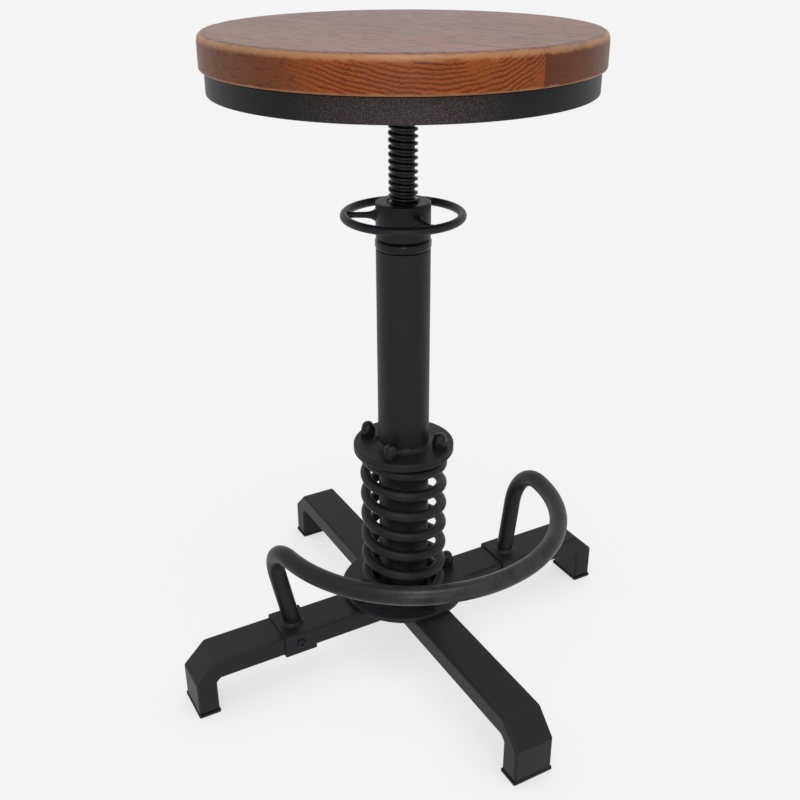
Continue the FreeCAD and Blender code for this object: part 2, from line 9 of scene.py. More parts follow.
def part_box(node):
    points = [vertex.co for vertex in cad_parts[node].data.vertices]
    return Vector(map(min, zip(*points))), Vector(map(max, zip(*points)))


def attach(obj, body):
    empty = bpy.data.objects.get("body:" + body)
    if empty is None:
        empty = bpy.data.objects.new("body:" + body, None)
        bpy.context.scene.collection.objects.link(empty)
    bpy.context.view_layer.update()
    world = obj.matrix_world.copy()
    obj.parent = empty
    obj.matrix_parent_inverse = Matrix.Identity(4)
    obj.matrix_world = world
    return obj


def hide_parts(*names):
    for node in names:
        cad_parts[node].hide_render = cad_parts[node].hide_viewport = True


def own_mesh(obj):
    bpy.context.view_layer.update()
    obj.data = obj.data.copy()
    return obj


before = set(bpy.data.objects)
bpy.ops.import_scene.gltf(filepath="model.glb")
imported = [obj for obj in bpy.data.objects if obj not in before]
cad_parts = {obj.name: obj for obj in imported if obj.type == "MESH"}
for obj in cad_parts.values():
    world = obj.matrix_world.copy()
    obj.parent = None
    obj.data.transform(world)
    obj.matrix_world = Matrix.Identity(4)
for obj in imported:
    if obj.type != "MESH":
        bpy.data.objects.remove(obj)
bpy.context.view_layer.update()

bl_info = {
    "name": "Machinist Stool",
    "version": (1, 0, 0),
    "blender": (4, 5, 0),
    "location": "3D View > Sidebar > Stool",
    "description": "Dresses the packed stool with detailed pieces, finishes and a plain studio",
    "category": "Object",
}

MM = 0.001
ROUND = 192


# Sizes: the seat's heights read from model.glb, the rest given

def span(node):
    """A node's lowest and highest corners in millimetres."""
    low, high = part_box(node)
    return low / MM, high / MM


SEAT_LOW, SEAT_HIGH = span("seat_board_middle")
SEAT_RADIUS = 165.0
SEAT_ROUND = 6.0
SEAT_LOWER_ROUND = 2.0
HAND_RING_RADIUS = 51.7
COLLAR_RADIUS = 24.4
COLUMN_RADIUS = 24.5
COLUMN_BORE = 21.5
FLANGE_RADIUS = 48.6
FLANGE_PLATE = 4.0
FLANGE_BOLTS = (37.0, 41.0)
BASE_BOLTS = (52.0, 0.0)
NUT_FLATS = 13.0
LEG_TOP = 59.0
LEG_LOW = 39.0
LEG_MIDDLE = (LEG_TOP + LEG_LOW) / 2

# Finishes: how much steel and wood shine, where a glint is painted on the seat band, how the wood grew and
# where its boards meet

DULL_SHEEN = 0.20
RING_LEAN = 0.15
GLINT_HEADING = math.radians(-119.0)
# Colour of the highlight that is painted on the front of the seat band
PAINTED_GLINT_COLOUR = (0.150, 0.110, 0.104)
SIDE_GRAIN = (0.115, 0.040, 0.0155)
GRAIN = math.radians(-71.3)
SEAMS = (-32.0, 101.0)


class StoolSizes(bpy.types.PropertyGroup):
    edge_wander: FloatProperty(
        name="Seat edge wander", default=0.00045, unit="LENGTH",
        description="How far the hand-rubbed edge of the seat wanders")
    tube_corner: FloatProperty(
        name="Tube corner", default=0.0026, unit="LENGTH",
        description="Outside corner radius of the rectangular leg tube")
    edge_break: FloatProperty(
        name="Edge break", default=0.0006, unit="LENGTH",
        description="Small rounding on sharp steel edges under the coat")
    weld_size: FloatProperty(
        name="Weld size", default=0.0034, unit="LENGTH",
        description="Leg of the weld beads")


class StoolColours(bpy.types.PropertyGroup):
    coat: FloatVectorProperty(
        name="Coat", subtype="COLOR", size=3, default=(0.0128, 0.0140, 0.0158),
        description="Fine textured powder coat on the steel")
    early_wood: FloatVectorProperty(
        name="Pale wood", subtype="COLOR", size=3, default=(0.365, 0.086, 0.0145),
        description="Stained wood between the growth lines")
    late_wood: FloatVectorProperty(
        name="Dark wood", subtype="COLOR", size=3, default=(0.115, 0.025, 0.0070),
        description="Stained wood on the growth lines")
    # Partly stain and partly painted reflection: its greyed tone stands in for the sheen on the flat top.
    top_stain_and_sheen: FloatVectorProperty(
        name="Seat top", subtype="COLOR", size=3, default=(0.262, 0.138, 0.108),
        description="Stain on the flat top of the seat")
    rubbed_wood: FloatVectorProperty(
        name="Rubbed wood", subtype="COLOR", size=3, default=(0.52, 0.27, 0.125),
        description="Paler wood where the edge is rubbed through the stain")
    background: FloatProperty(
        name="Background", default=0.905, min=0.0, max=1.0, subtype="FACTOR",
        description="Brightness of the floor and the backdrop")


# Shader graph

class Field:
    """A node's output. Python's operators on it add Math nodes."""

    def __init__(self, graph, socket):
        self.graph = graph
        self.socket = socket

    def math(self, operation, *others):
        return self.graph.node("ShaderNodeMath", {"operation": operation}, [self, *others])

    def __add__(self, other):
        return self.math("ADD", other)

    __radd__ = __add__

    def __mul__(self, other):
        return self.math("MULTIPLY", other)

    __rmul__ = __mul__

    def __sub__(self, other):
        return self.math("SUBTRACT", other)

    def __rsub__(self, other):
        return self.graph.node("ShaderNodeMath", {"operation": "SUBTRACT"}, [other, self])

    def __truediv__(self, other):
        return self.math("DIVIDE", other)

    def __rtruediv__(self, other):
        return self.graph.node("ShaderNodeMath", {"operation": "DIVIDE"}, [other, self])

    def __pow__(self, other):
        return self.math("POWER", other)

    def __abs__(self):
        return self.math("ABSOLUTE")


class Graph:
    """A material's or a world's nodes."""

    def __init__(self, owner):
        owner.use_nodes = True
        self.tree = owner.node_tree
        self.tree.nodes.clear()

    def node(self, kind, settings=None, sockets=None, out=0):
        """Adds a node, sets its settings, then gives its sockets their values or links."""
        made = self.tree.nodes.new(kind)
        for name, value in (settings or {}).items():
            if name == "stops":
                ramp = made.color_ramp
                while len(ramp.elements) < len(value):
                    ramp.elements.new(1.0)
                for element, (place, colour) in zip(ramp.elements, value):
                    element.position = place
                    element.color = (*colour, 1.0)
            else:
                setattr(made, name, value)
        pairs = enumerate(sockets) if isinstance(sockets, list) else (sockets or {}).items()
        for key, value in pairs:
            socket = made.inputs[key]
            if isinstance(value, Field):
                self.tree.links.new(value.socket, socket)
            elif socket.type == "RGBA" and len(value) == 3:
                socket.default_value = (*value, 1.0)
            else:
                socket.default_value = value
        return Field(self, made.outputs[out]) if made.outputs else None

    def place(self):
        """The rest position of a surface point, in metres."""
        return self.node("ShaderNodeTexCoord", out="Object")

    def parts(self, vector):
        separate = self.node("ShaderNodeSeparateXYZ", {}, [vector]).socket.node
        return [Field(self, separate.outputs[k]) for k in range(3)]

    def joined(self, x, y, z):
        return self.node("ShaderNodeCombineXYZ", {}, [x, y, z])

    def grain(self, vector, scale, detail=2.0, roughness=0.5):
        """Soft random values between about 0.2 and 0.8."""
        return self.node("ShaderNodeTexNoise", {"noise_dimensions": "3D"},
                         {"Vector": vector, "Scale": scale, "Detail": detail, "Roughness": roughness})

    def streaks(self, vector, factors, detail, roughness):
        """Soft random values, drawn out along the axes with small factors."""
        stretched = self.node("ShaderNodeVectorMath", {"operation": "MULTIPLY"}, [vector, factors])
        return self.grain(stretched, 1.0, detail, roughness)

    def step(self, value, low, high, to_low=0.0, to_high=1.0):
        """A smooth step from one value to another."""
        return self.node("ShaderNodeMapRange", {"interpolation_type": "SMOOTHSTEP"},
                         [value, low, high, to_low, to_high])

    def mixed(self, first, second, share, how="MIX"):
        sockets = {"Factor": share, 6: first, 7: second}
        return self.node("ShaderNodeMix", {"data_type": "RGBA", "blend_type": how}, sockets, out=2)

    def bump(self, height, distance, strength=1.0):
        return self.node("ShaderNodeBump", {},
                         {"Strength": strength, "Distance": distance, "Height": height})

    def seen_directly(self):
        """1 for the rays of the camera and for those by which metal and glass show the background."""
        path = self.node("ShaderNodeLightPath").socket.node
        camera, glossy, clear = [Field(self, path.outputs["Is " + kind + " Ray"])
                                 for kind in ("Camera", "Glossy", "Transmission")]
        return camera.math("MAXIMUM", glossy).math("MAXIMUM", clear)

    def surface(self, **sockets):
        sockets = {"Specular_IOR_Level": DULL_SHEEN, **sockets}
        shader = self.node("ShaderNodeBsdfPrincipled", {},
                           {name.replace("_", " "): value for name, value in sockets.items()})
        self.node("ShaderNodeOutputMaterial", {}, {"Surface": shader})
        return shader


def new_material(name):
    material = bpy.data.materials.new(name)
    return material, Graph(material)


MADE = {}


def once(make):
    """Makes each finish a single time, whichever piece asks first."""
    def give(*arguments):
        key = (make.__name__, *arguments)
        if key not in MADE:
            MADE[key] = make(*arguments)
        return MADE[key]
    return give


def lighter(colour, factor):
    return tuple(min(1.0, c * factor) for c in colour)


def radius_of(x, y, *_):
    return (x * x + y * y).math("SQRT")


@once
def powder_coat(name="coat_fine", tone=1.0, roughness=0.46, grit=1.0, rubbed="none", sparkle=2.1,
                sheen=DULL_SHEEN):
    """Fine textured powder coat: pinhead grit, a little dust in its colour, and, if asked, a shoe-worn
    patch with a painted sheen or a painted glint.
    """
    colours = bpy.context.scene.stool_colours
    material, g = new_material(name)
    place = g.place()
    x, y, z = g.parts(place)
    cloud = g.grain(place, 22.0, 3.0, 0.6)
    grains = g.grain(place, 1100.0, 2.0, 0.6)
    coarse = g.grain(place, 480.0, 1.0, 0.5)
    base = lighter(colours.coat, tone)
    colour = g.mixed(lighter(base, 0.74), lighter(base, 1.36), cloud)
    speck = g.step(grains, 0.56, 0.74)
    colour = g.mixed(colour, lighter(base, sparkle), speck * 0.55)
    rough = roughness + (cloud - 0.5) * 0.16 + (grains - 0.5) * 0.10
    # Shoe wear and painted sheen: the front top of the bar is lightened and made smoother. This is partly
    # wear from shoes and partly a highlight painted into the colour.
    if rubbed == "shoes":
        front = g.step(y, -0.105, -0.150) * g.step(z, 0.150, 0.164)
        patchy = g.step(g.grain(place, 38.0, 4.0, 0.7), 0.36, 0.66)
        worn = front * patchy
        colour = g.mixed(colour, (0.060, 0.060, 0.062), worn * 0.62)
        rough = rough - worn * 0.13
    # Painted glint: the side that faces GLINT_HEADING, towards the camera, is lightened and its grit specks
    # are brightened. This is a highlight painted into the colour.
    if rubbed == "glinting":
        facing = x * math.cos(GLINT_HEADING) + y * math.sin(GLINT_HEADING)
        front = g.step(facing / radius_of(x, y), 0.84, 0.995)
        colour = g.mixed(colour, lighter(PAINTED_GLINT_COLOUR, 0.26), front * 0.55)
        colour = g.mixed(colour, PAINTED_GLINT_COLOUR, front * g.step(grains, 0.50, 0.62) * 0.60)
    height = grains * 0.6 + coarse * 0.4
    g.surface(Base_Color=colour, Roughness=rough, Specular_IOR_Level=sheen,
              Normal=g.bump(height, 0.00016 * grit, 0.55))
    return material


@once
def stained_board(name, pith_across, pith_height, spacing, depth, seed, clear=1.0):
    """Stained board whose growth rings are cylinders round a pith line that leans from the grain."""
    colours = bpy.context.scene.stool_colours
    material, g = new_material(name)
    place = g.place()
    x, y, z = g.parts(place)
    cosine, sine = math.cos(GRAIN), math.sin(GRAIN)
    along = x * cosine + y * sine
    across = y * cosine - x * sine
    shifted = g.joined(along + seed, across, z)
    slow = g.streaks(shifted, (2.2, 9.0, 9.0), 2.0, 0.5)
    ripple = g.streaks(shifted, (16.0, 70.0, 70.0), 3.0, 0.55)
    off_across = across - pith_across + (slow - 0.5) * 0.030
    off_height = z - pith_height + along * RING_LEAN
    ring = (off_across * off_across + off_height * off_height).math("SQRT")
    count = (ring + (ripple - 0.5) * 0.0060) / spacing
    phase = count.math("FRACT")
    line = g.step(phase, 0.35, 0.80) * (1.0 - g.step(phase, 0.90, 1.0))
    thick = g.streaks(shifted, (3.0, 30.0, 30.0), 2.0, 0.5)
    line = line * g.step(thick, 0.36, 0.60, 0.15, 1.0)
    low, high = SEAT_LOW.z * MM, SEAT_HIGH.z * MM
    flat_top = g.step(z, high - 0.004, high - 0.0005)
    line = line * (1.0 - flat_top * 0.80) * g.step(along, 0.0, 0.075, 0.15, clear)
    fibre = g.streaks(shifted, (45.0, 1500.0, 1500.0), 3.0, 0.65)
    pores = g.step(g.streaks(shifted, (75.0, 1100.0, 1100.0), 1.0, 0.5), 0.56, 0.70)
    patch = g.streaks(shifted, (5.0, 13.0, 13.0), 3.0, 0.6)
    early = lighter(colours.early_wood, depth)
    late = lighter(colours.late_wood, depth)
    colour = g.mixed(lighter(early, 0.70), lighter(early, 1.35), patch)
    colour = g.mixed(colour, late, line * 0.92)
    side = g.step(along, 0.070, 0.020)
    colour = g.mixed(colour, SIDE_GRAIN, side * 0.70)
    # Painted reflection: the flat top takes the greyed top colour, which is partly stain and partly a sheen
    # painted into the colour.
    colour = g.mixed(colour, colours.top_stain_and_sheen, flat_top * 0.80)
    colour = g.mixed(colour, lighter(late, 0.8), (1.0 - g.step(fibre, 0.30, 0.62)) * 0.42)
    colour = g.mixed(colour, lighter(late, 0.45), pores * 0.62)
    streak = g.step(g.streaks(shifted, (12.0, 330.0, 330.0), 4.0, 0.75), 0.47, 0.60)
    colour = g.mixed(colour, lighter(colours.top_stain_and_sheen, 0.30), flat_top * streak * 0.80)

    radius = radius_of(x, y)
    nibble = (g.grain(place, 95.0, 4.0, 0.7) - 0.5) * 0.0052
    outer = g.step(radius + nibble, SEAT_RADIUS * MM - 0.0052, SEAT_RADIUS * MM - 0.0012)
    top_edge = g.step(z + nibble, high - 0.0066, high - 0.0030) * (1.0 - g.step(z, high - 0.0012, high))
    low_edge = 1.0 - g.step(z + nibble * 0.7, low + 0.0006, low + 0.0026)
    rubbed = outer * (top_edge + low_edge).math("MINIMUM", 1.0)
    colour = g.mixed(colour, colours.rubbed_wood, rubbed * 0.60)

    seams = [1.0 - g.step(abs(across - seam * MM), 0.00012, 0.00042) for seam in SEAMS]
    seam = seams[0].math("MAXIMUM", seams[1])
    colour = g.mixed(colour, lighter(late, 0.3), seam * 0.8)

    rough = 0.36 + (1.0 - line) * 0.05 + (patch - 0.5) * 0.12 + pores * 0.14
    height = fibre * 0.35 + line * 0.5 - pores * 1.1 - seam * 2.0
    g.surface(Base_Color=colour, Roughness=rough, Normal=g.bump(height, 0.00010, 0.8),
              Coat_Weight=0.03 + flat_top * 0.05, Coat_Roughness=0.22)
    return material


@once
def oiled_thread():
    """Blackened, greased screw whose crests are rubbed bright."""
    material, g = new_material("screw_oiled")
    place = g.place()
    radius = radius_of(*g.parts(place))
    smear = g.streaks(place, (60.0, 60.0, 260.0), 3.0, 0.6)
    scratch = g.streaks(place, (900.0, 900.0, 90.0), 2.0, 0.6)
    crest = g.step(radius + (smear - 0.5) * 0.0016, 0.0124, 0.0130)
    colour = g.mixed((0.0036, 0.0036, 0.0040), (0.010, 0.010, 0.011), smear)
    colour = g.mixed(colour, (0.040, 0.040, 0.039), crest * 0.5)
    rough = 0.30 + (smear - 0.5) * 0.22 + (scratch - 0.5) * 0.12
    g.surface(Base_Color=colour, Metallic=crest * 0.5, Roughness=rough,
              Normal=g.bump(scratch, 0.00006, 0.5))
    return material


@once
def gloss_nylon():
    """Polished black nylon with faint turning marks."""
    material, g = new_material("nylon_gloss")
    place = g.place()
    turning = g.streaks(place, (30.0, 30.0, 2600.0), 2.0, 0.5)
    cloud = g.grain(place, 120.0, 2.0, 0.5)
    colour = g.mixed((0.006, 0.006, 0.0065), (0.014, 0.014, 0.015), cloud)
    g.surface(Base_Color=colour, Roughness=0.16 + (cloud - 0.5) * 0.10,
              Normal=g.bump(turning, 0.00004, 0.4))
    return material


@once
def natural_nylon():
    material, g = new_material("nylon_natural")
    place = g.place()
    cloud = g.grain(place, 160.0, 3.0, 0.6)
    marks = g.streaks(place, (40.0, 40.0, 2200.0), 2.0, 0.5)
    colour = g.mixed((0.60, 0.57, 0.47), (0.80, 0.78, 0.70), cloud)
    g.surface(Base_Color=colour, Roughness=0.42 + (cloud - 0.5) * 0.1,
              Normal=g.bump(marks, 0.00005, 0.5))
    return material


@once
def blackened_bolt(name="bolt_blackened", shine=0.0):
    """Blackened steel fastener, a little browner and glossier than the coat."""
    material, g = new_material(name)
    place = g.place()
    cloud = g.grain(place, 240.0, 3.0, 0.6)
    fine = g.grain(place, 1900.0, 2.0, 0.5)
    colour = g.mixed((0.010, 0.010, 0.011), (0.026, 0.025, 0.025), cloud)
    rough = 0.40 - shine + (cloud - 0.5) * 0.18 + (fine - 0.5) * 0.08
    g.surface(Base_Color=colour, Metallic=0.25 + (cloud - 0.5) * 0.2, Roughness=rough,
              Normal=g.bump(fine, 0.00006, 0.5))
    return material


@once
def moulded_glide():
    """Moulded black plastic pad, scuffed pale where it meets the floor."""
    material, g = new_material("glide_moulded")
    place = g.place()
    height = g.parts(place)[2]
    grains = g.grain(place, 700.0, 2.0, 0.6)
    ragged = height + (g.grain(place, 260.0, 3.0, 0.7) - 0.5) * 0.003
    scuff = 1.0 - g.step(ragged, 0.0002, 0.0014)
    colour = g.mixed((0.0085, 0.0085, 0.009), (0.017, 0.017, 0.018), grains)
    colour = g.mixed(colour, (0.075, 0.072, 0.068), scuff * 0.45)
    g.surface(Base_Color=colour, Roughness=0.52 + (grains - 0.5) * 0.2,
              Normal=g.bump(grains, 0.00008, 0.6))
    return material


# Meshes

def add_piece(name, bm, material, body, replaces=(), sharp=32.0, weighted=True):
    """Puts a form into the scene as a piece that rides on a body."""
    mesh = to_mesh(name, bm)
    mesh.materials.append(material)
    mesh.shade_smooth()
    mesh.set_sharp_from_angle(angle=math.radians(sharp))
    piece = bpy.data.objects.new(name, mesh)
    bpy.context.scene.collection.objects.link(piece)
    if weighted:
        modifier = piece.modifiers.new("normals", "WEIGHTED_NORMAL")
        modifier.keep_sharp = True
        settle(piece)
    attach(piece, body)
    if replaces:
        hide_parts(*replaces)
    return piece


def settle(piece):
    """Applies a piece's modifiers."""
    bpy.context.view_layer.update()
    seen = piece.evaluated_get(bpy.context.evaluated_depsgraph_get())
    mesh = bpy.data.meshes.new_from_object(seen)
    piece.modifiers.clear()
    old = piece.data
    piece.data = mesh
    mesh.name = piece.name
    bpy.data.meshes.remove(old)


def to_mesh(name, bm):
    bmesh.ops.recalc_face_normals(bm, faces=bm.faces[:])
    bmesh.ops.scale(bm, vec=(MM, MM, MM), verts=bm.verts[:])
    mesh = bpy.data.meshes.new(name)
    bm.to_mesh(mesh)
    bm.free()
    return mesh


def arc(centre, radius, start, end, steps):
    """Points on an arc in a plane, angles in degrees."""
    points = []
    for k in range(steps + 1):
        angle = math.radians(start + (end - start) * k / steps)
        points.append((centre[0] + radius * math.cos(angle), centre[1] + radius * math.sin(angle)))
    return points


def softened(corners, steps=5):
    """A closed outline whose corners, given as (x, y, radius), are rounded."""
    points = []
    count = len(corners)
    for k in range(count):
        x, y, radius = corners[k]
        here = Vector((x, y))
        if radius <= 0:
            points.append((x, y))
            continue
        back = (Vector(corners[k - 1][:2]) - here)
        on = (Vector(corners[(k + 1) % count][:2]) - here)
        half = back.angle(on) / 2
        reach = min(radius / math.tan(half), 0.49 * min(back.length, on.length))
        radius = reach * math.tan(half)
        back.normalize()
        on.normalize()
        middle = here + (back + on).normalized() * (radius / math.sin(half))
        first = here + back * reach - middle
        last = here + on * reach - middle
        turn = first.angle_signed(last)
        for step in range(steps + 1):
            spoke = first.copy()
            spoke.rotate(Matrix.Rotation(-turn * step / steps, 2))
            points.append(tuple(middle + spoke))
    return points


def ring_outline(inner, outer, low, high, rounds, steps):
    """The section of a flat ring, with its corners rounded from the inner lower one on."""
    corners = ((inner, low), (outer, low), (outer, high), (inner, high))
    return softened([(*corner, radius) for corner, radius in zip(corners, rounds)], steps)


def skin(bm, rings, around=False):
    """Faces between neighbouring closed rings of corners, and from the last to the first if around."""
    following = rings[1:] + (rings[:1] if around else [])
    for low, high in zip(rings, following):
        count = len(low)
        for k in range(count):
            n = (k + 1) % count
            bm.faces.new((low[k], low[n], high[n], high[k]))


def cap(bm, rings):
    bm.faces.new(rings[0])
    bm.faces.new(rings[-1])


def lathe(outline, segments=ROUND, centre=(0.0, 0.0), closed=True, wander=None):
    """A body of revolution about a vertical line from a closed (radius, height) outline."""
    bm = bmesh.new()
    rings = []
    for radius, height in outline:
        if radius < 1e-6:
            rings.append([bm.verts.new((centre[0], centre[1], height))] * segments)
            continue
        ring = []
        for k in range(segments):
            angle = 2 * math.pi * k / segments
            r, h = radius, height
            if wander:
                r, h = wander(radius, height, angle)
            ring.append(bm.verts.new((centre[0] + r * math.cos(angle), centre[1] + r * math.sin(angle), h)))
        rings.append(ring)
    pairs = list(zip(rings, rings[1:] + rings[:1])) if closed else list(zip(rings, rings[1:]))
    for low, high in pairs:
        for k in range(segments):
            n = (k + 1) % segments
            corners = []
            for vert in (low[k], low[n], high[n], high[k]):
                if vert not in corners:
                    corners.append(vert)
            if len(corners) > 2:
                bm.faces.new(corners)
    return bm


def swept(points, radius, sides=24):
    """A round bar along points, with flat ends."""
    bm = bmesh.new()
    points = [Vector(p) for p in points]
    count = len(points)
    ways = [(points[min(k + 1, count - 1)] - points[max(k - 1, 0)]).normalized() for k in range(count)]
    normal = ways[0].orthogonal().normalized()
    rings = []
    for point, way in zip(points, ways):
        normal = (normal - way * normal.dot(way)).normalized()
        side = way.cross(normal)
        ring = []
        for k in range(sides):
            angle = 2 * math.pi * k / sides
            spoke = normal * math.cos(angle) + side * math.sin(angle)
            ring.append(bm.verts.new(point + spoke * radius))
        rings.append(ring)
    skin(bm, rings)
    cap(bm, rings)
    return bm


def merged(parts):
    """Several meshes in one."""
    whole = bmesh.new()
    for part in parts:
        mesh = bpy.data.meshes.new("part")
        part.to_mesh(mesh)
        part.free()
        whole.from_mesh(mesh)
        bpy.data.meshes.remove(mesh)
    return whole


BEAD_HOLLOW = ((0.62, 0.16), (0.33, 0.40), (0.13, 0.72))


def weld_fillet(foot, axis, radius, level, size):
    """A hollow weld bead round a round post, with the overlapping scales that a torch leaves."""
    foot = Vector(foot)
    axis = Vector(axis).normalized()
    first = axis.orthogonal().normalized()
    second = axis.cross(first)
    count = max(120, int(2 * math.pi * radius / 0.5))
    scale_length = 2.4
    scales = max(8, round(2 * math.pi * radius / scale_length))
    buried = 1.2
    bm = bmesh.new()
    rings = []
    for k in range(count):
        angle = 2 * math.pi * k / count
        spoke = first * math.cos(angle) + second * math.sin(angle)
        point = foot + spoke * radius
        point = point + axis * ((level - point.z) / axis.z)
        out = Vector((spoke.x, spoke.y, 0)).normalized()
        scale = (k / count * scales) % 1.0
        leg = size * (0.88 + 0.09 * (1 - scale) ** 2 + 0.22 * noise.noise(point * 0.16))
        sunk = Vector((0, 0, -0.2))
        ring = [point + axis * leg - spoke * 0.2]
        ring += [point + axis * leg * rise + out * leg * reach for rise, reach in BEAD_HOLLOW]
        ring += [point + out * leg * 1.04 + sunk, point - out * buried + sunk,
                 point - spoke * buried + axis * leg * 0.9]
        rings.append([bm.verts.new(p) for p in ring])
    skin(bm, rings, around=True)
    return bm


def rounded_prism(outline, half_width, fillet, steps=5):
    """An outline in the x-z plane, made 2 x half_width thick with rounded long edges."""
    count = len(outline)
    points = [Vector(p) for p in outline]
    area = sum(points[k - 1].x * points[k].y - points[k].x * points[k - 1].y for k in range(count))
    if area < 0:
        points.reverse()
    insets = []
    for k in range(count):
        a = (points[k] - points[k - 1]).normalized()
        b = (points[(k + 1) % count] - points[k]).normalized()
        inward_a = Vector((-a.y, a.x))
        inward_b = Vector((-b.y, b.x))
        middle = (inward_a + inward_b).normalized()
        insets.append(middle / max(0.35, middle.dot(inward_a)))
    layers = []
    for side in (-1, 1):
        order = range(steps + 1) if side < 0 else range(steps, -1, -1)
        for k in order:
            angle = math.pi / 2 * k / steps
            depth = fillet * (1 - math.sin(angle))
            width = half_width - fillet * (1 - math.cos(angle))
            layers.append((side * width, depth))
    bm = bmesh.new()
    rings = []
    for y, depth in layers:
        inner = [p + i * depth for p, i in zip(points, insets)]
        rings.append([bm.verts.new((p.x, y, p.y)) for p in inner])
    skin(bm, rings)
    cap(bm, rings)
    return bm


def turned(bm, degrees, centre=(0, 0, 0), axis="Z"):
    turn = Matrix.Rotation(math.radians(degrees), 3, axis)
    bmesh.ops.rotate(bm, cent=centre, matrix=turn, verts=bm.verts[:])
    return bm


def moved(bm, offset):
    bmesh.ops.translate(bm, vec=offset, verts=bm.verts[:])
    return bm


def finish_nodes(material, *names):
    """Gives kept nodes their finish."""
    for name in names:
        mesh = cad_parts[name].data
        if not mesh.materials:
            mesh.materials.append(material)
        for k in range(len(mesh.materials)):
            mesh.materials[k] = material


class PieceOperator:
    """What the stool's operators share."""
    bl_options = {"REGISTER", "UNDO"}

    @property
    def sizes(self):
        return bpy.context.scene.stool_sizes


# Seat

class STOOL_OT_seat_boards(PieceOperator, bpy.types.Operator):
    """Three edge-glued boards with a rubbed round edge"""
    bl_idname = "stool.seat_boards"
    bl_label = "Seat boards"

    def execute(self, context):
        low, high = SEAT_LOW.z, SEAT_HIGH.z
        small, large = SEAT_LOWER_ROUND, SEAT_ROUND
        outline = [(0.0, low)] + arc((SEAT_RADIUS - small, low + small), small, -90, 0, 4)
        outline += [(SEAT_RADIUS, low + 4 * small), (SEAT_RADIUS, high - 2 * large)]
        outline += arc((SEAT_RADIUS - large, high - large), large, 0, 90, 9) + [(0.0, high)]
        amount = self.sizes.edge_wander / MM
        near_edge = 8.0

        def wander(radius, height, angle):
            if radius < SEAT_RADIUS - near_edge:
                return radius, height
            spot = Vector((math.cos(angle) * 7.0, math.sin(angle) * 7.0, height * 0.05))
            worn = abs(noise.fractal(spot, 0.9, 2.0, 3)) * amount
            worn *= 1.0 if height > high - near_edge else 0.5
            lowered = worn if high - large < height < high else 0.0
            return radius - worn, height - lowered

        names = ("seat_board_left", "seat_board_middle", "seat_board_right")
        past = 2 * SEAT_RADIUS
        limits = (-past, *SEAMS, past)
        grains = ((-0.122, 0.752, 0.0033, 1.0, 3.1, 1.0), (0.018, 0.742, 0.0031, 0.45, 0.4, 0.30),
                  (0.165, 0.520, 0.0034, 0.85, 7.7, 0.6))
        across = Vector((-math.sin(GRAIN), math.cos(GRAIN), 0.0))
        for name, left, right, wood in zip(names, limits, limits[1:], grains):
            bm = lathe(outline, segments=360, closed=False, wander=wander)
            for place, sign in ((left, -1), (right, 1)):
                if abs(place) == past:
                    continue
                cut = bmesh.ops.bisect_plane(
                    bm, geom=bm.verts[:] + bm.edges[:] + bm.faces[:], dist=1e-5,
                    plane_co=across * place, plane_no=across * sign, clear_outer=True)
                rim = [e for e in cut["geom_cut"] if isinstance(e, bmesh.types.BMEdge)]
                bmesh.ops.edgenet_fill(bm, edges=rim)
            add_piece(name + "_wood", bm, stained_board(name + "_stain", *wood), "seat",
                      [name])
        return {"FINISHED"}


class STOOL_OT_seat_band(PieceOperator, bpy.types.Operator):
    """Rolled band under the boards"""
    bl_idname = "stool.seat_band"
    bl_label = "Seat band"

    def execute(self, context):
        low, high = span("seat_band")
        outer, inner = 160.8, 157.8
        outline = ring_outline(inner, outer, low.z, high.z, (0.5, 1.1, 0.7, 0.5), 4)
        bm = lathe(outline, segments=256)
        # Painted shade: the band's coat is a darker copy of the powder coat (tone 0.70). It also carries
        # the painted glint.
        add_piece("seat_band_coated", bm,
                  powder_coat("coat_band", 0.70, 0.44, 3.2, "glinting", 2.6, 0.16), "seat",
                  ["seat_band"])
        finish_nodes(powder_coat(), "seat_spider", "seat_hub")
        finish_nodes(blackened_bolt(), "seat_screws", "hub_pin", "screw_end_washer", "screw_end_bolt")
        return {"FINISHED"}


# Lifting screw

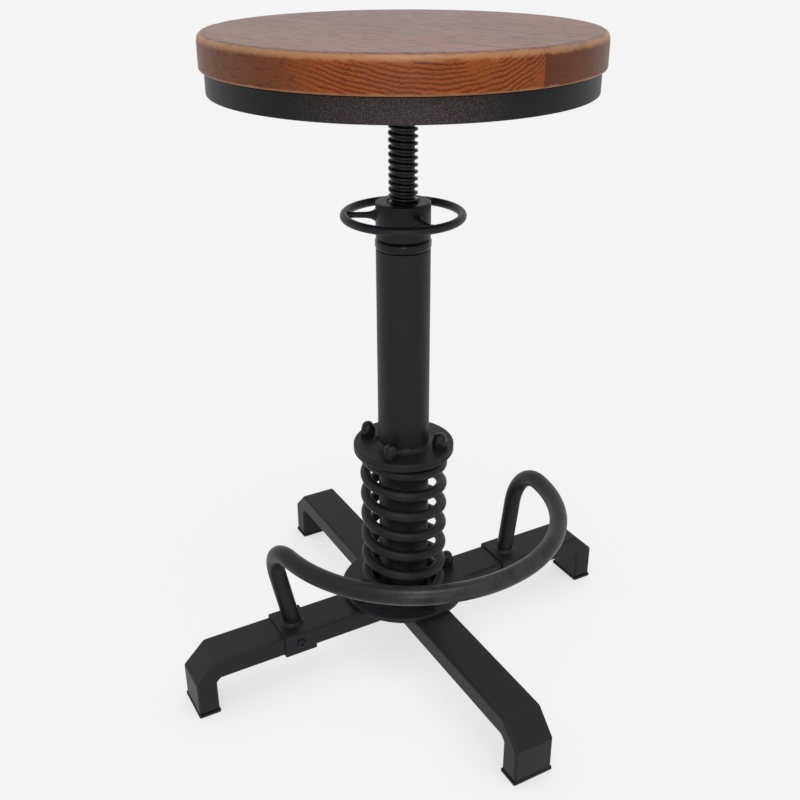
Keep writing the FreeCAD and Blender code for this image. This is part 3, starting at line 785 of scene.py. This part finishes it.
class STOOL_OT_lifting_screw(PieceOperator, bpy.types.Operator):
    """The coarse screw, swept along its own helix so that every crest is smooth"""
    bl_idname = "stool.lifting_screw"
    bl_label = "Lifting screw"

    pitch = 6.0
    crest_radius = 12.85
    root_radius = 10.15
    lower_radius = 8.0
    lower_length = 17.0
    upper_radius = 10.0
    upper_length = 31.0

    def section(self):
        """Heights over one pitch and their radii, centred on the crest."""
        soft = 0.35
        half = softened([(-3.0, self.root_radius, 0), (-1.95, self.root_radius, soft),
                         (-0.85, self.crest_radius, soft), (0.85, self.crest_radius, soft),
                         (1.95, self.root_radius, soft), (3.0, self.root_radius, 0)], 3)
        return [p for p in half if abs(p[0]) <= self.pitch / 2 + 0.0001]

    def journal(self, radius, low, high, hand):
        """A plain turned end, broken at its outer edge: below for hand -1, above for hand 1."""
        broken = 0.6
        foot = [(radius - broken, low), (radius, low + broken)] if hand < 0 else [(radius, low)]
        head = [(radius, high - broken), (radius - broken, high)] if hand > 0 else [(radius, high)]
        return lathe([(0, low)] + foot + head + [(0, high)], segments=64, closed=False)

    def execute(self, context):
        low, high = span("lead_screw")
        thread_low, thread_high = low.z + self.lower_length, high.z - self.upper_length
        section = self.section()
        steps = 56
        first = math.ceil((thread_low + self.pitch / 2) / self.pitch)
        last = math.floor((thread_high - self.pitch / 2) / self.pitch)
        total = (last - first) * steps
        bm = bmesh.new()
        rows = []
        for k in range(total + 1):
            height = first * self.pitch + k * self.pitch / steps
            angle = -2 * math.pi * height / self.pitch
            rise = min(1.0, k / (steps * 0.5), (total - k) / (steps * 0.5))
            row = []
            for offset, radius in section:
                r = self.root_radius + (radius - self.root_radius) * rise
                row.append(bm.verts.new((r * math.cos(angle), r * math.sin(angle), height + offset)))
            rows.append(row)
        for a, b in zip(rows, rows[1:]):
            for k in range(len(section) - 1):
                bm.faces.new((a[k], a[k + 1], b[k + 1], b[k]))
        bmesh.ops.remove_doubles(bm, verts=bm.verts[:], dist=0.002)
        middle = (thread_low + thread_high) / 2

        def open_rim(lower):
            rim = [e for e in bm.edges if e.is_boundary]
            return [e for e in rim if (e.verts[0].co.z < middle) == lower]

        for lower, plane in ((True, thread_low), (False, thread_high)):
            grown = bmesh.ops.extrude_edge_only(bm, edges=open_rim(lower))
            fresh = [v for v in grown["geom"] if isinstance(v, bmesh.types.BMVert)]
            for vert in fresh:
                vert.co.z = plane
            bmesh.ops.remove_doubles(bm, verts=fresh, dist=0.002)
            bmesh.ops.edgenet_fill(bm, edges=open_rim(lower))
        ends = [self.journal(self.lower_radius, low.z, thread_low - 0.02, -1),
                self.journal(self.upper_radius, thread_high + 0.02, high.z, 1)]
        bm = merged([bm] + ends)
        add_piece("lifting_screw", bm, oiled_thread(), "seat", ["lead_screw"],
                  sharp=50.0, weighted=False)
        finish_nodes(natural_nylon(), "guide_bush")
        return {"FINISHED"}


# Lock

class STOOL_OT_lock(PieceOperator, bpy.types.Operator):
    """Collar, friction ring and the wire ring on three welded spokes"""
    bl_idname = "stool.lock"
    bl_label = "Lock collar and hand ring"

    spoke_direction = 30.7
    spoke_radius = 2.6
    ring_weld = 2.2

    def execute(self, context):
        soft = self.sizes.edge_break / MM
        ring_low, ring_high = span("lock_ring")
        low, high = span("lock_collar")
        body_low = ring_high.z
        outline = softened([
            (13.25, low.z, 0.3), (18.0, low.z, 0.3), (18.0, low.z + 1.4, 0.3), (17.0, low.z + 1.4, 0.2),
            (17.0, body_low, 0.0), (COLLAR_RADIUS, body_low, 1.5), (COLLAR_RADIUS, high.z, 1.5),
            (15.4, high.z, soft), (13.25, high.z - 2.4, 0.3)], 5)
        add_piece("lock_collar_coated", lathe(outline), powder_coat("coat_collar", 0.92, 0.42, 0.8),
                  "lock_handle", ["lock_collar"])

        bore, outside, counterbore, step = 17.08, 25.3, 18.3, ring_low.z + 2.0
        outline = softened([(bore, step, 0.2), (counterbore, step, 0), (counterbore, ring_low.z, 0.3),
                            (outside, ring_low.z, 2.9), (outside, ring_high.z, 3.4),
                            (bore, ring_high.z, 0.3)], 8)
        add_piece("lock_ring_gloss", lathe(outline), gloss_nylon(), "lock_washer",
                  ["lock_ring"])

        ring_box = span("hand_ring")
        level = (ring_box[0].z + ring_box[1].z) / 2
        wire = (ring_box[1].z - ring_box[0].z) / 2
        circle = arc((HAND_RING_RADIUS, level), wire, 0, 360, 28)[:-1]
        add_piece("hand_ring_wire", lathe(circle, segments=144),
                  powder_coat("coat_ring", 1.0, 0.40, 0.8), "lock_handle", ["hand_ring"])

        spokes = [turned(self.spoke(level), self.spoke_direction + 120 * k) for k in range(3)]
        add_piece("hand_ring_spokes_welded", merged(spokes), powder_coat("coat_ring", 1.0, 0.40, 0.8),
                  "lock_handle", ["hand_ring_spokes"])
        return {"FINISHED"}

    def spoke(self, level):
        """A wire spoke that flares into its welds at the collar and at the ring."""
        start = COLLAR_RADIUS - 0.4
        length = HAND_RING_RADIUS - start
        steps = 24
        outline = [(0.0, 0.0)]
        for step in range(steps + 1):
            along = length * step / steps
            left = length - along - self.ring_weld
            near = math.exp(-(along / 3.6) ** 1.25)
            far = math.exp(-(left / 3.2) ** 2) if left > 0 else 1.0
            outline.append((self.spoke_radius + 3.1 * near + 0.9 * far, along))
        outline.append((0.0, length))
        spoke = turned(lathe(outline, segments=24, closed=False), 90, axis="Y")
        return moved(spoke, (start, 0, level))


# Column

class STOOL_OT_column(PieceOperator, bpy.types.Operator):
    """Column tube, its two bolted flanges and their weld"""
    bl_idname = "stool.column"
    bl_label = "Column"

    def execute(self, context):
        soft = self.sizes.edge_break / MM
        weld = self.sizes.weld_size / MM
        low, high = span("column_tube")
        outline = ring_outline(COLUMN_BORE, COLUMN_RADIUS, low.z, high.z, (0.3, 0.3, soft, soft), 4)
        add_piece("column_tube_coated", lathe(outline, segments=128), powder_coat(), "column",
                  ["column_tube"])

        lower, seam = span("sleeve_flange")
        top = seam.z + FLANGE_PLATE
        outline = ring_outline(COLUMN_RADIUS, FLANGE_RADIUS, seam.z, top, (0.1, 0.9, 1.5, 0.1), 5)
        add_piece("column_flange_coated", lathe(outline), powder_coat(), "column",
                  ["column_flange"])
        bead = weld_fillet((0, 0, top), (0, 0, 1), COLUMN_RADIUS, top, weld * 1.35)
        add_piece("column_flange_weld", bead, powder_coat("coat_weld", 1.0, 0.42, 0.6), "column",
                  sharp=70, weighted=False)

        bore = 21.42
        outline = ring_outline(bore, FLANGE_RADIUS, lower.z, seam.z, (0.3, 1.5, 0.9, 0.1), 5)
        add_piece("sleeve_flange_coated", lathe(outline), powder_coat(), "column",
                  ["sleeve_flange"])
        finish_nodes(powder_coat(), "inner_sleeve", "base_post")
        finish_nodes(oiled_thread(), "column_nut")
        finish_nodes(blackened_bolt(), "flange_screws", "stop_pin")
        return {"FINISHED"}


# Fasteners

def cap_nut(flats, height, centre, base, turn=0.0):
    """A domed nut with chamfered corners."""
    sides = 48
    corner = flats / math.sqrt(3)
    hexagon = height * 0.5
    dome = 0.475 * flats
    shoulder = max(hexagon + 0.05, height - dome)
    bm = bmesh.new()
    rings = []
    levels = ((0.0, 0.93), (0.07 * flats, 0.985), (hexagon - 0.10 * flats, 0.985), (hexagon, 0.90))
    for level, share in levels:
        ring = []
        for k in range(sides):
            angle = 2 * math.pi * k / sides
            off_flat = (angle + math.pi / 6) % (math.pi / 3) - math.pi / 6
            radius = min(flats / 2 / math.cos(off_flat), corner * share)
            angle += turn
            ring.append(bm.verts.new((radius * math.cos(angle), radius * math.sin(angle), level)))
        rings.append(ring)
    steps = 10
    for step in range(steps):
        lift = math.radians(90 * step / steps)
        radius = dome * math.cos(lift)
        level = shoulder + dome * math.sin(lift)
        angles = [2 * math.pi * k / sides + turn for k in range(sides)]
        rings.append([bm.verts.new((radius * math.cos(a), radius * math.sin(a), level)) for a in angles])
    skin(bm, rings)
    tip = bm.verts.new((0, 0, shoulder + dome))
    for k in range(sides):
        bm.faces.new((rings[-1][k], rings[-1][(k + 1) % sides], tip))
    bm.faces.new(rings[0])
    return moved(bm, (centre[0], centre[1], base))


def ring_of_places(radius, start):
    angles = [math.radians(start + 90 * k) for k in range(4)]
    return [(radius * math.cos(angle), radius * math.sin(angle)) for angle in angles]


class STOOL_OT_fasteners(PieceOperator, bpy.types.Operator):
    """Cap nuts on the flange and the base plate, with washers and bolt heads"""
    bl_idname = "stool.fasteners"
    bl_label = "Nuts, washers and bolts"

    def execute(self, context):
        finish = blackened_bolt("nut_coated", 0.08)
        for piece, node, body, places, first, turn in (
                ("flange_nuts", "flange_cap_nuts", "column", FLANGE_BOLTS, 0.0, 0.3),
                ("base_nuts", "base_cap_nuts", "base", BASE_BOLTS, 0.2, 0.4)):
            low, high = span(node)
            nuts = [cap_nut(NUT_FLATS, high.z - low.z, place, low.z, first + turn * k)
                    for k, place in enumerate(ring_of_places(*places))]
            add_piece(piece, merged(nuts), finish, body, [node], sharp=24)
        low, high = span("base_washers")
        bore, outside = 4.2, 8.0
        outline = ring_outline(bore, outside, low.z, high.z, (0.1, 0.3, 0.45, 0.1), 3)
        washers = [lathe(outline, segments=64, centre=place) for place in ring_of_places(*BASE_BOLTS)]
        add_piece("base_washers_stamped", merged(washers), finish, "base",
                  ["base_washers"])
        finish_nodes(blackened_bolt(), "base_bolts")
        return {"FINISHED"}


# Spring

class STOOL_OT_spring(PieceOperator, bpy.types.Operator):
    """The heavy coil spring, riding on the base"""
    bl_idname = "stool.spring"
    bl_label = "Spring"

    mean_radius = 37.6
    wire = 10.4
    active = 6.36
    closed = 0.5
    start = 10.0
    gap = 0.3

    def execute(self, context):
        foot = span("base_plate")[1].z
        bottom = foot + self.gap + self.wire / 2
        top = span("sleeve_flange")[0].z - self.gap - self.wire / 2
        pitch = (top - bottom) / self.active
        total = self.active + 2 * self.closed
        points = []
        count = int(total * 72)
        ease = 0.10
        for k in range(count + 1):
            turn = total * k / count
            level = turn - self.closed
            soft_low = math.sqrt(level * level + ease * ease)
            past = level - self.active
            soft_high = math.sqrt(past * past + ease * ease)
            climbed = (soft_low - soft_high + self.active) / 2
            angle = math.radians(self.start) + 2 * math.pi * turn
            points.append((self.mean_radius * math.cos(angle), self.mean_radius * math.sin(angle),
                           top - pitch * climbed))
        bm = swept(points, self.wire / 2, sides=28)
        bevel_ends = [e for e in bm.edges if e.calc_face_angle(0.0) > math.radians(60)]
        bmesh.ops.bevel(bm, geom=bevel_ends, offset=1.0, segments=3, profile=0.5, affect="EDGES")
        piece = add_piece("coil_spring", bm, powder_coat("coat_spring", 0.86, 0.44, 0.7), "base",
                          ["spring"], weighted=False)
        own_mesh(piece)
        return {"FINISHED"}


# Base

class STOOL_OT_base_plate(PieceOperator, bpy.types.Operator):
    """Round plate that ties the four legs together"""
    bl_idname = "stool.base_plate"
    bl_label = "Base plate"

    def execute(self, context):
        low, high = span("base_plate")
        bore = 12.0
        outline = ring_outline(bore, high.x, low.z, high.z, (0.4, 0.8, 1.2, 0.4), 4)
        add_piece("base_plate_coated", lathe(outline), powder_coat(), "base",
                  ["base_plate"])
        return {"FINISHED"}


class STOOL_OT_legs(PieceOperator, bpy.types.Operator):
    """Rectangular tube legs with rounded corners, mitred feet and moulded glides"""
    bl_idname = "stool.legs"
    bl_label = "Legs and glides"

    reach = 234.0
    half_width = 20.0
    root = 20.0
    bevel = 21.5
    inner_bevel = 4.2
    glide_top = 3.0
    glide_overhang = 0.8

    def execute(self, context):
        corner = self.sizes.tube_corner / MM
        inner = self.reach - (LEG_TOP - LEG_LOW)
        foot = [(self.reach - self.bevel, LEG_TOP, 5.0), (self.reach, LEG_TOP - self.bevel, 4.0),
                (self.reach, self.glide_top, 0), (inner, self.glide_top, 0),
                (inner, LEG_LOW - self.inner_bevel, 2.0), (inner - self.inner_bevel, LEG_LOW, 2.0)]
        other = [(-x, z, radius) for x, z, radius in reversed(foot)]
        stub = [(self.root, LEG_TOP, 0)] + foot + [(self.root, LEG_LOW, 0)]
        legs = (("sides", foot + other, 0, ("leg_beam_sides", "leg_foot_left", "leg_foot_right")),
                ("front", stub, 270, ("leg_beam_front", "leg_foot_front")),
                ("back", stub, 90, ("leg_beam_back", "leg_foot_back")))
        for name, outline, direction, nodes in legs:
            bm = turned(rounded_prism(softened(outline, 6), self.half_width, corner), direction)
            add_piece("leg_tube_" + name, bm, powder_coat(), "base", nodes)
        for name, direction in (("right", 0), ("back", 90), ("left", 180), ("front", 270)):
            pad = turned(self.glide(inner), direction)
            add_piece("glide_" + name + "_pad", pad, moulded_glide(), "base",
                      ["glide_" + name])
        return {"FINISHED"}

    def glide(self, inner):
        """A thin pad that stands out all round the foot, softened top and bottom."""
        over = self.glide_overhang
        half = self.half_width + over
        plan = softened([(inner - over, -half, 1.6), (self.reach + over, -half, 1.6),
                         (self.reach + over, half, 1.6), (inner - over, half, 1.6)], 4)
        bm = bmesh.new()
        rings = []
        for level, inset in ((0.0, 0.7), (0.2, 0.25), (0.7, 0.0), (2.5, 0.0), (2.9, 0.2), (3.0, 0.55)):
            ring = []
            for x, y in plan:
                middle = (inner + self.reach) / 2
                toward = Vector((x - middle, y))
                scale_x = (abs(toward.x) - inset) / abs(toward.x)
                scale_y = (abs(toward.y) - inset) / abs(toward.y)
                ring.append(bm.verts.new((middle + toward.x * scale_x, toward.y * scale_y, level)))
            rings.append(ring)
        skin(bm, rings)
        cap(bm, rings)
        return bm


# Footrest

class STOOL_OT_footrest(PieceOperator, bpy.types.Operator):
    """Bent round bar, its two clamps, their welds and screws"""
    bl_idname = "stool.footrest"
    bl_label = "Footrest"

    radius = 8.5
    half_width = 141.0
    reach = 145.8
    side_radius = 151.5
    height = 160.5
    centre = -17.2
    tilt = math.radians(2.33)
    side_start = math.radians(7.2)
    bend_reach = 43.1
    post = 126.8
    clamp_start = 110.7
    clamp_length = 33.0
    clamp_wall = 2.0
    clamp_gap = 0.15

    def in_plane(self, across, forward):
        return Vector((across, self.centre - forward * math.cos(self.tilt),
                       self.height + forward * math.sin(self.tilt)))

    def bar_points(self, clamp_top):
        side = self.side_radius - self.half_width
        front = self.side_radius - self.reach
        middle = (side * side - front * front) / (2 * front)
        front_radius = self.reach - middle
        slope = math.atan2(middle, side)
        begin = self.side_start
        across = self.side_radius * math.cos(begin) - side
        forward = self.side_radius * math.sin(begin)
        corner = self.in_plane(across + self.bend_reach * math.sin(begin),
                               forward - self.bend_reach * math.cos(begin))
        foot = Vector((self.post, 0, clamp_top))
        back = (foot - corner).normalized()
        on = (self.in_plane(across, forward) - corner).normalized()
        half = back.angle(on) / 2
        bend = self.bend_reach * math.tan(half)
        hub = corner + (back + on).normalized() * (bend / math.sin(half))
        start = corner + back * self.bend_reach
        first = start - hub
        last = corner + on * self.bend_reach - hub
        right = [foot.lerp(start, k / 12) for k in range(12)]
        for k in range(28):
            spoke = first.copy()
            spoke.rotate(Matrix.Rotation(first.angle(last) * k / 28, 3, first.cross(last)))
            right.append(hub + spoke)
        for k in range(30):
            angle = begin + (slope - begin) * k / 30
            right.append(self.in_plane(self.side_radius * math.cos(angle) - side,
                                       self.side_radius * math.sin(angle)))
        for k in range(31):
            angle = slope + (math.pi / 2 - slope) * k / 30
            right.append(self.in_plane(front_radius * math.cos(angle),
                                       middle + front_radius * math.sin(angle)))
        left = [Vector((-p.x, p.y, p.z)) for p in reversed(right[:-1])]
        return right + left, back

    def execute(self, context):
        clamp_top = LEG_TOP + self.clamp_wall + self.clamp_gap
        points, way = self.bar_points(clamp_top)
        bm = swept(points, self.radius, sides=36)
        add_piece("footrest_bar_coated", bm, powder_coat("coat_bar", 1.0, 0.40, 0.9, "shoes"), "base",
                  ["footrest_bar"], weighted=False)
        weld = self.sizes.weld_size / MM
        for hand, name in ((-1, "left"), (1, "right")):
            bm = self.clamp(hand)
            add_piece("footrest_clamp_" + name + "_sleeve", bm, powder_coat(), "base",
                      ["footrest_clamp_" + name])
            axis = Vector((-way.x * hand, -way.y, -way.z))
            bead = weld_fillet((self.post * hand, 0, clamp_top), axis, self.radius, clamp_top, weld)
            add_piece("footrest_weld_" + name, bead, powder_coat("coat_weld", 1.0, 0.42, 0.6), "base",
                      sharp=70, weighted=False)
        finish_nodes(blackened_bolt(), "clamp_screws")
        return {"FINISHED"}

    def clamp(self, hand):
        """A folded sleeve round the leg: rounded outside, square inside, open at both ends."""
        across, tall = 20.0 + self.clamp_gap, (LEG_TOP - LEG_LOW) / 2 + self.clamp_gap
        wall = self.clamp_wall
        shapes = [softened([(-y, LEG_MIDDLE - z, r), (y, LEG_MIDDLE - z, r), (y, LEG_MIDDLE + z, r),
                            (-y, LEG_MIDDLE + z, r)], 5)
                  for y, z, r in ((across + wall, tall + wall, 1.9), (across, tall, 0.4))]
        outer, inner = shapes
        near, far = self.clamp_start, self.clamp_start + self.clamp_length
        soft = 0.5
        bm = bmesh.new()
        layers = ((near + soft, outer, 0.0), (near + 0.15, outer, soft * 0.7), (near, outer, soft * 1.4),
                  (near, inner, 0.0), (far, inner, 0.0), (far, outer, soft * 1.4),
                  (far - 0.15, outer, soft * 0.7), (far - soft, outer, 0.0))
        rings = []
        for x, outline, inset in layers:
            ring = []
            for y, z in outline:
                scale_y = (abs(y) - inset) / abs(y)
                lift = z - LEG_MIDDLE
                scale_z = (abs(lift) - inset) / abs(lift)
                ring.append(bm.verts.new((x * hand, y * scale_y, LEG_MIDDLE + lift * scale_z)))
            rings.append(ring)
        skin(bm, rings, around=True)
        return bm


# Stage

def soft_light(name, place, aim, size, power):
    data = bpy.data.lights.new(name, "AREA")
    data.shape = "RECTANGLE"
    data.size, data.size_y = size
    data.energy = power
    lamp = bpy.data.objects.new(name, data)
    bpy.context.scene.collection.objects.link(lamp)
    lamp.location = place
    lamp.rotation_euler = (Vector(aim) - Vector(place)).to_track_quat("-Z", "Y").to_euler()
    lamp.visible_camera = False


class STOOL_OT_stage(PieceOperator, bpy.types.Operator):
    """Pale floor with a painted shadow near the legs, soft studio light and the camera"""
    bl_idname = "stool.stage"
    bl_label = "Stage"

    camera_place = (-0.4186, -0.7457, 0.6940)
    camera_heading = 29.08355
    camera_pitch = 26.1408
    camera_roll = -0.18731
    camera_lens = 44.968

    def execute(self, context):
        self.floor()
        self.world(context)
        self.lights()
        self.camera(context)
        context.scene.view_settings.view_transform = "Standard"
        return {"FINISHED"}

    def floor(self):
        level = bpy.context.scene.stool_colours.background
        bm = bmesh.new()
        bmesh.ops.create_circle(bm, cap_ends=True, segments=96, radius=14000.0)
        floor = bpy.data.objects.new("floor", to_mesh("floor", bm))
        bpy.context.scene.collection.objects.link(floor)
        material, g = new_material("floor_pale")
        spread = g.step(radius_of(*g.parts(g.place())), 0.26, 0.60, 0.965, 1.0)
        # Painted shadow: near the legs, the glow that the camera sees is darkened by occlusion looked for
        # towards the light, down to painted_shadow.
        slant = Vector((0.55, 0.62, 0.56)).normalized()
        near = g.node("ShaderNodeAmbientOcclusion", {"samples": 12}, {"Distance": 0.070, "Normal": slant},
                      out=1)
        painted_shadow = level * 0.70
        pale = g.mixed((painted_shadow, painted_shadow, painted_shadow), (level, level, level), g.step(near, 0.0, 0.95))
        seen = g.seen_directly()
        plain = g.node("ShaderNodeBsdfDiffuse", {}, {"Color": (level, level, level)})
        glow = g.node("ShaderNodeEmission", {}, {"Color": pale, "Strength": 1.0})
        surface = g.node("ShaderNodeMixShader", {}, [seen * spread, plain, glow])
        g.node("ShaderNodeOutputMaterial", {}, {"Surface": surface})
        floor.data.materials.append(material)

    def world(self, context):
        level = context.scene.stool_colours.background
        world = bpy.data.worlds.new("studio")
        context.scene.world = world
        g = Graph(world)
        direction = g.node("ShaderNodeTexCoord", out="Generated")
        x, y, _ = g.parts(direction)
        heading = math.radians(90 - self.camera_heading)
        behind = x * math.cos(heading) + y * math.sin(heading)
        room = g.step(behind, -0.7, 0.75, 0.16, 0.52)
        seen = g.seen_directly()
        soft = g.node("ShaderNodeBackground", {}, {"Color": (1, 1, 1), "Strength": room})
        plain = g.node("ShaderNodeBackground", {}, {"Color": (level, level, level), "Strength": 1.0})
        surface = g.node("ShaderNodeMixShader", {}, [seen, soft, plain])
        g.node("ShaderNodeOutputWorld", {}, {"Surface": surface})

    def lights(self):
        soft_light("overhead_softbox", (-0.35, -0.75, 2.2), (0, 0, 0.3), (1.0, 1.0), 16.0)
        soft_light("seat_glint", (-0.10, -0.33, 2.05), (-0.08, -0.14, 0.6), (0.28, 0.22), 3.2)
        soft_light("front_fill", (-0.9, -1.7, 0.9), (0, 0, 0.4), (0.7, 0.9), 8.0)

    def camera(self, context):
        data = bpy.data.cameras.new("photo_view")
        data.lens = self.camera_lens
        data.sensor_width = 36.0
        data.clip_end = 60.0
        camera = bpy.data.objects.new("photo_view", data)
        context.scene.collection.objects.link(camera)
        turn = Matrix.Rotation(math.radians(-self.camera_heading), 4, "Z")
        tilt = Matrix.Rotation(math.radians(90 - self.camera_pitch), 4, "X")
        roll = Matrix.Rotation(math.radians(self.camera_roll), 4, "Z")
        camera.matrix_world = Matrix.Translation(self.camera_place) @ turn @ tilt @ roll
        context.scene.camera = camera


class STOOL_PT_panel(bpy.types.Panel):
    """Shows the stool's sizes, colours and operators in the sidebar"""
    bl_idname = "STOOL_PT_panel"
    bl_label = "Machinist stool"
    bl_space_type = "VIEW_3D"
    bl_region_type = "UI"
    bl_category = "Stool"

    def draw(self, context):
        for group in (context.scene.stool_sizes, context.scene.stool_colours):
            for name in group.bl_rna.properties.keys():
                if name not in ("rna_type", "name"):
                    self.layout.prop(group, name)
        for operator in OPERATORS:
            self.layout.operator(operator.bl_idname)


OPERATORS = (
    STOOL_OT_seat_boards,
    STOOL_OT_seat_band,
    STOOL_OT_lifting_screw,
    STOOL_OT_lock,
    STOOL_OT_column,
    STOOL_OT_fasteners,
    STOOL_OT_spring,
    STOOL_OT_base_plate,
    STOOL_OT_legs,
    STOOL_OT_footrest,
    STOOL_OT_stage,
)
CLASSES = (StoolSizes, StoolColours, *OPERATORS, STOOL_PT_panel)


def register():
    for kind in CLASSES:
        bpy.utils.register_class(kind)
    bpy.types.Scene.stool_sizes = PointerProperty(type=StoolSizes)
    bpy.types.Scene.stool_colours = PointerProperty(type=StoolColours)


def unregister():
    del bpy.types.Scene.stool_sizes
    del bpy.types.Scene.stool_colours
    for kind in reversed(CLASSES):
        bpy.utils.unregister_class(kind)


def main():
    register()
    for operator in OPERATORS:
        group, name = operator.bl_idname.split(".")
        getattr(getattr(bpy.ops, group), name)()


if __name__ == "__main__":
    main()
